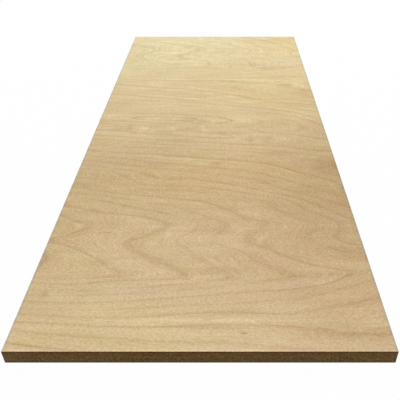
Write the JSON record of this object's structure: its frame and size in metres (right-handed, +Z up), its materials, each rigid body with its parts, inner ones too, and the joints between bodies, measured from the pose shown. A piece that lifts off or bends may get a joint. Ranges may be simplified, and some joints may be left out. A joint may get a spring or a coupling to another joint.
{
  "type": "plywood sheet",
  "caption": "Flat rectangular sheet of plywood, cross-laid wood veneers with a pale smooth face whose grain runs along the short side, and square sawn edges.",
  "frame": {"origin": "middle of the underside, the face that rests on the floor", "axes": "+X along the short side and the face's grain, +Y along the long side, +Z up out of the face"},
  "size_m": [0.4064, 0.9144, 0.0183],
  "materials": {
    "face_veneer": "sanded smooth, bare",
    "back_veneer": "sanded smooth, bare",
    "crossband": "sawn edge",
    "core_ply": "sawn edge"
  },
  "bodies": {
    "root": {"back_veneer": "back_veneer", "lower_crossband": "crossband", "lower_core_ply": "core_ply", "centre_ply": "crossband", "upper_core_ply": "core_ply", "upper_crossband": "crossband", "face_veneer": "face_veneer"}
  },
  "joints": []
}
